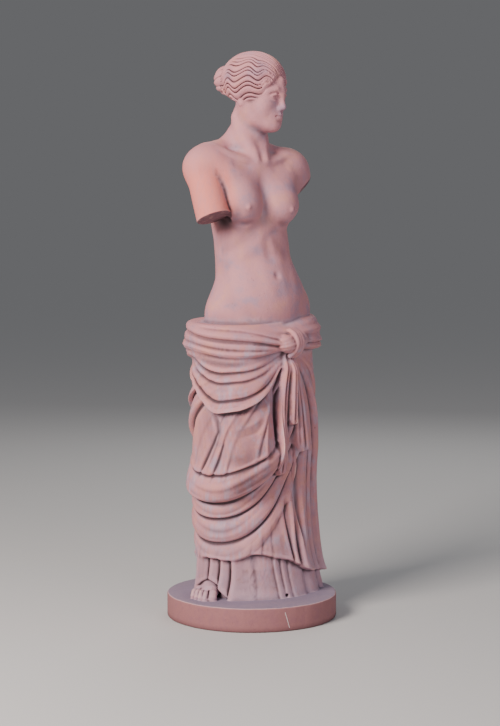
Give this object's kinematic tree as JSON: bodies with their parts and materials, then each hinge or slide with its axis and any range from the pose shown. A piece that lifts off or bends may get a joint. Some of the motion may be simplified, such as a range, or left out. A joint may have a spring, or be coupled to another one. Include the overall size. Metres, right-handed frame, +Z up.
{
  "type": "classical goddess statue",
  "caption": "Standing half-draped classical goddess with broken arms, on a low round plinth, in matt terracotta.",
  "frame": {"origin": "centre of the plinth's flat underside", "axes": "+Z up, through the plinth's middle; the figure faces -Y and its left side is +X"},
  "size_m": [0.268, 0.268, 0.8819],
  "materials": {
    "terracotta": "matt unglazed fired clay, pinkish, with a greyish mauve wash in the hollows"
  },
  "bodies": {
    "root": {"statue": "terracotta"}
  },
  "joints": []
}
